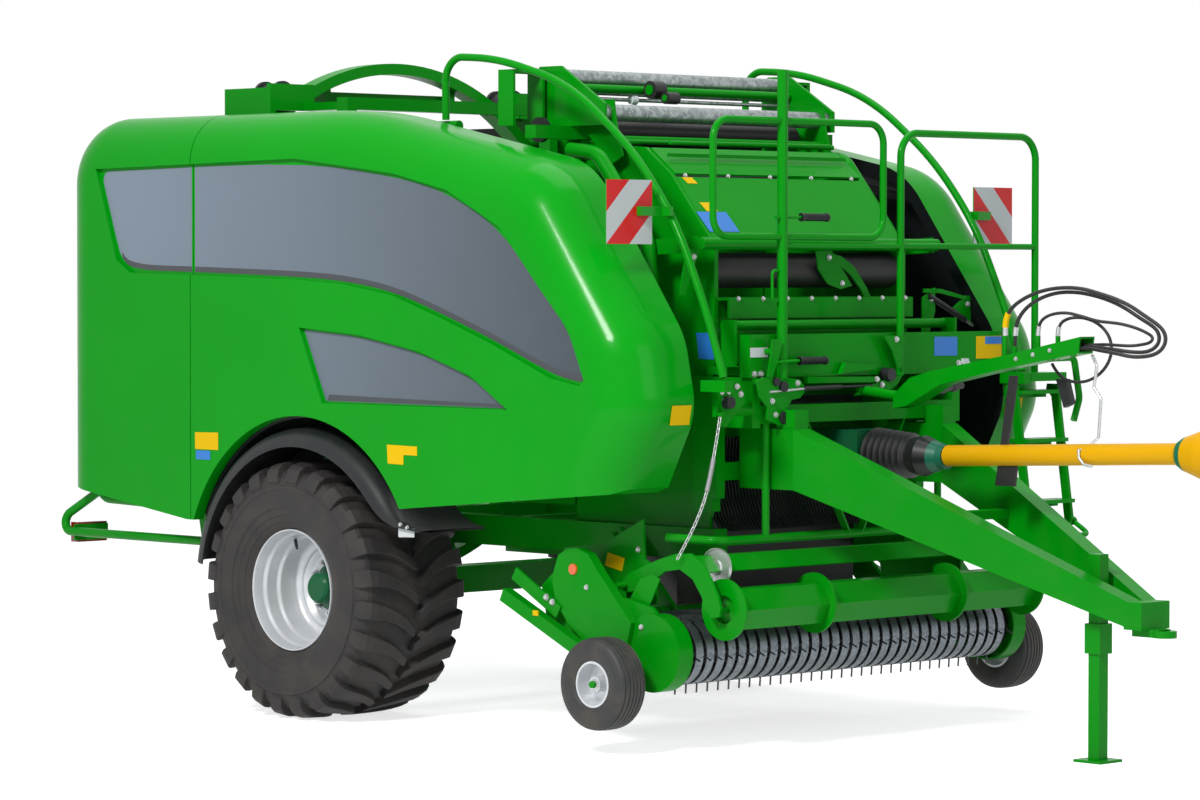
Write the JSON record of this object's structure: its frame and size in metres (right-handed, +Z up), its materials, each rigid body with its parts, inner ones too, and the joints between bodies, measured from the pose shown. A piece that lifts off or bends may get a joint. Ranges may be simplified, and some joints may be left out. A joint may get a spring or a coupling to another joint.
{
  "type": "baler wrapper",
  "caption": "Towed machine that rolls crop into a round bale and winds film round it, with pickup, bale chamber, wrapping ring and table, side doors and drawbar.",
  "frame": {"origin": "on the ground under the middle of the machine's length and width", "axes": "+X forward to the drawbar eye, +Y to the machine's left, +Z up"},
  "size_m": [6.36, 2.9, 3.1629],
  "materials": {
    "green_paint": "gloss",
    "dark_green_paint": "gloss",
    "tyre_rubber": "matte",
    "silver_paint": "satin",
    "black_plastic": "matte",
    "dark_steel": "worn",
    "black_rubber": "matte",
    "zinc_steel": "galvanised",
    "lamp_plastic": "gloss",
    "film_wrap": "gloss",
    "yellow_plastic": "satin",
    "warning_board": "reflective red and white stripes"
  },
  "bodies": {
    "machine": {"axle_beam": "green_paint", "chassis_frame": "green_paint", "front_frame": "green_paint", "platform_deck": "green_paint", "cross_tubes": "green_paint", "panel_frame": "green_paint", "wrap_frame": "green_paint", "ring_rollers": "black_plastic", "chamber_walls": "green_paint", "front_rollers": "dark_steel", "intake_housing": "green_paint", "film_frame": "green_paint", "film_rods": "zinc_steel", "black_rollers": "black_rubber", "rear_panel_right": "green_paint", "rear_panel_left": "green_paint", "mudguards": "black_plastic", "arc_rails": "green_paint", "warning_boards": "warning_board", "guard_rails": "green_paint", "drawbar": "green_paint", "parking_jack": "green_paint", "gearbox": "dark_green_paint", "shaft_bellows": "black_plastic", "shaft_guard": "yellow_plastic", "shaft_yoke": "zinc_steel", "hose_arm": "green_paint", "ladder": "green_paint", "rear_lamps": "lamp_plastic", "hose_feed": "black_rubber", "hose_return": "black_rubber", "hose_inner": "black_rubber", "hose_loop": "black_rubber", "lift_chain": "zinc_steel"},
    "wheel_right": {"tyre_right": "tyre_rubber", "rim_right": "silver_paint", "hub_right": "dark_green_paint"},
    "wheel_left": {"tyre_left": "tyre_rubber", "rim_left": "silver_paint", "hub_left": "dark_green_paint"},
    "ring": {"wrap_ring": "green_paint", "film_dispensers": "green_paint", "film_rolls": "film_wrap"},
    "table": {"table_frame": "green_paint", "table_rollers": "dark_steel"},
    "tailgate": {"tailgate_walls": "green_paint", "tailgate_rollers": "dark_steel"},
    "door_right": {"side_door_right": "green_paint"},
    "door_left": {"side_door_left": "green_paint"},
    "pickup": {"pickup_frame": "green_paint", "stripper_bands": "zinc_steel"},
    "reel": {"tine_reel": "dark_steel"},
    "gauge_right": {"gauge_tyre_right": "tyre_rubber", "gauge_rim_right": "silver_paint"},
    "gauge_left": {"gauge_tyre_left": "tyre_rubber", "gauge_rim_left": "silver_paint"},
    "crop_guide": {"crop_guide": "green_paint"},
    "crop_roller": {"crop_roller": "green_paint"},
    "ladder_step": {"ladder_step": "green_paint"}
  },
  "joints": [
    {"name": "wheel_right_spin", "type": "hinge", "parent": "machine", "child": "wheel_right", "pos_m": [-1.2575, -1.13, 0.611], "axis": [0, 1, 0], "continuous": true},
    {"name": "wheel_left_spin", "type": "hinge", "parent": "machine", "child": "wheel_left", "pos_m": [-1.2575, 1.13, 0.611], "axis": [0, 1, 0], "continuous": true},
    {"name": "ring_spin", "type": "hinge", "parent": "machine", "child": "ring", "pos_m": [-2.1175, 0, 1.863], "axis": [1, 0, 0], "continuous": true},
    {"name": "table_tip", "type": "hinge", "parent": "machine", "child": "table", "pos_m": [-2.1175, 0, 1.03], "axis": [0, -1, 0], "range_deg": [0, 12]},
    {"name": "tailgate_lift", "type": "hinge", "parent": "machine", "child": "tailgate", "pos_m": [-0.1075, 0, 2.63], "axis": [0, 1, 0], "range_deg": [0, 45]},
    {"name": "door_right_lift", "type": "hinge", "parent": "machine", "child": "door_right", "pos_m": [-1.3575, -1.02, 2.842], "axis": [-1, 0, 0], "range_deg": [0, 55]},
    {"name": "door_left_lift", "type": "hinge", "parent": "machine", "child": "door_left", "pos_m": [-1.3575, 1.02, 2.842], "axis": [1, 0, 0], "range_deg": [0, 55]},
    {"name": "pickup_lift", "type": "hinge", "parent": "machine", "child": "pickup", "pos_m": [0.2425, 0, 0.9], "axis": [0, 1, 0], "range_deg": [0, 9.5]},
    {"name": "reel_spin", "type": "hinge", "parent": "pickup", "child": "reel", "pos_m": [0.9125, 0, 0.44], "axis": [0, 1, 0], "continuous": true},
    {"name": "gauge_right_spin", "type": "hinge", "parent": "pickup", "child": "gauge_right", "pos_m": [0.7925, -1.352, 0.312], "axis": [0, 1, 0], "continuous": true},
    {"name": "gauge_left_spin", "type": "hinge", "parent": "pickup", "child": "gauge_left", "pos_m": [0.7925, 1.352, 0.312], "axis": [0, 1, 0], "continuous": true},
    {"name": "crop_guide_swing", "type": "hinge", "parent": "pickup", "child": "crop_guide", "pos_m": [0.6475, 0, 0.72], "axis": [0, -1, 0], "range_deg": [-1.5, 3.5]},
    {"name": "crop_roller_spin", "type": "hinge", "parent": "crop_guide", "child": "crop_roller", "pos_m": [1.1975, 0, 0.64], "axis": [0, 1, 0], "continuous": true},
    {"name": "ladder_step_fold", "type": "hinge", "parent": "machine", "child": "ladder_step", "pos_m": [1.2505, 1.14, 0.935], "axis": [0, -1, 0], "range_deg": [0, 80]}
  ]
}
